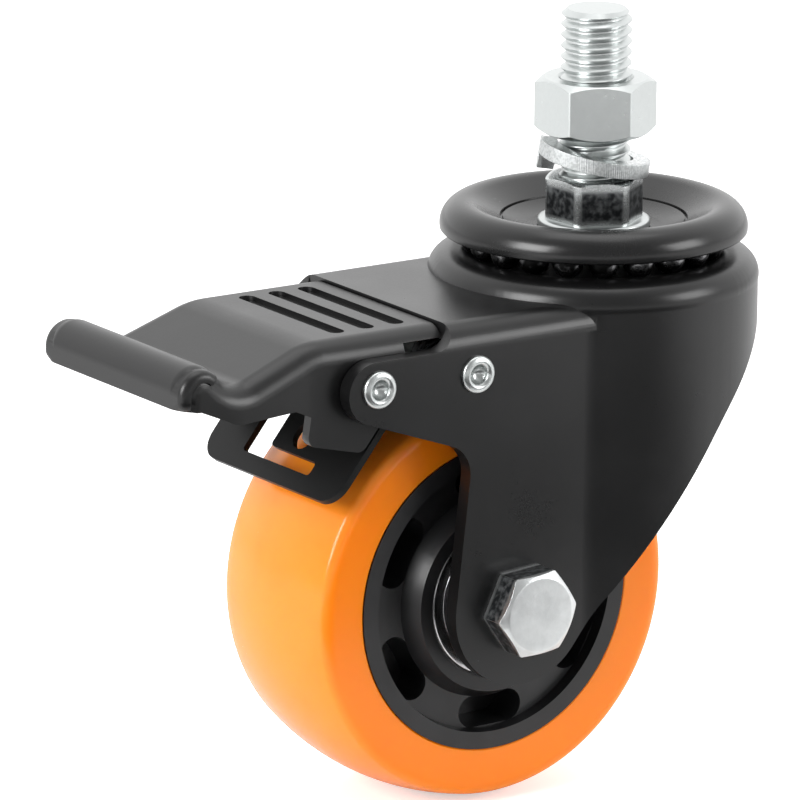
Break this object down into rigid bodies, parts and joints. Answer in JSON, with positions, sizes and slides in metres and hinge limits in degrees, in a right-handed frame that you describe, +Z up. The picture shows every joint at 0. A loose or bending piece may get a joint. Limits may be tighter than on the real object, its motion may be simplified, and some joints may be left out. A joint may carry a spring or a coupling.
{
  "type": "swivel castor",
  "caption": "Threaded-stem swivel castor with a pressed black fork, ball race, foot brake pedal and an orange polyurethane wheel on bearings.",
  "frame": {"origin": "on the swivel axis, on the top of the stem's hexagonal shoulder, where the carried frame seats", "axes": "+Z up along the threaded stem; the wheel trails towards -X and the brake pedal points the same way; +Y along the wheel's axle towards its nut"},
  "size_m": [0.1308, 0.0651, 0.1376],
  "materials": {
    "zinc": "bright zinc plate",
    "black_paint": "semi-gloss black",
    "orange_tyre": "glossy cast polyurethane",
    "black_core": "satin moulded plastic",
    "bearing_steel": "ground steel",
    "spring_steel": "bright wire"
  },
  "bodies": {
    "head": {"threaded_stem": "zinc", "stem_nut": "zinc", "spring_washer": "zinc", "race_cup": "black_paint", "lower_race_dish": "zinc"},
    "fork": {"fork_yoke": "black_paint", "race_balls": "bearing_steel", "lower_race_balls": "bearing_steel", "axle_bolt": "zinc", "axle_locknut": "zinc", "axle_sleeve": "zinc", "axle_collars": "zinc", "bearing_inner_rings": "bearing_steel", "pedal_rivet": "zinc", "brake_rivet": "zinc", "return_spring": "spring_steel"},
    "wheel": {"wheel_core": "black_core", "tyre": "orange_tyre", "bearing_outer_rings": "bearing_steel", "bearing_balls": "bearing_steel", "bearing_shields": "bearing_steel"},
    "pedal": {"brake_pedal": "black_paint"},
    "plate": {"brake_plate": "black_paint"}
  },
  "joints": [
    {"name": "swivel", "type": "hinge", "parent": "head", "child": "fork", "pos_m": [0, 0, 0], "axis": [0, 0, 1], "continuous": true},
    {"name": "wheel_spin", "type": "hinge", "parent": "fork", "child": "wheel", "pos_m": [-0.0314, 0, -0.06945], "axis": [0, 1, 0], "continuous": true},
    {"name": "pedal_press", "type": "hinge", "parent": "fork", "child": "pedal", "pos_m": [-0.0621, 0, -0.0258], "axis": [0, -1, 0], "range_deg": [0, 18]},
    {"name": "plate_swing", "type": "hinge", "parent": "fork", "child": "plate", "pos_m": [-0.0415, 0, -0.0258], "axis": [0, -1, 0], "range_deg": [0, 7.4], "stiffness_Nm_per_rad": 0.4, "springref_deg": -11.46, "deforming": ["return_spring"]}
  ],
  "couplings": [
    {"joint": "plate_swing", "follows": "pedal_press", "ratio": 0.411}
  ]
}
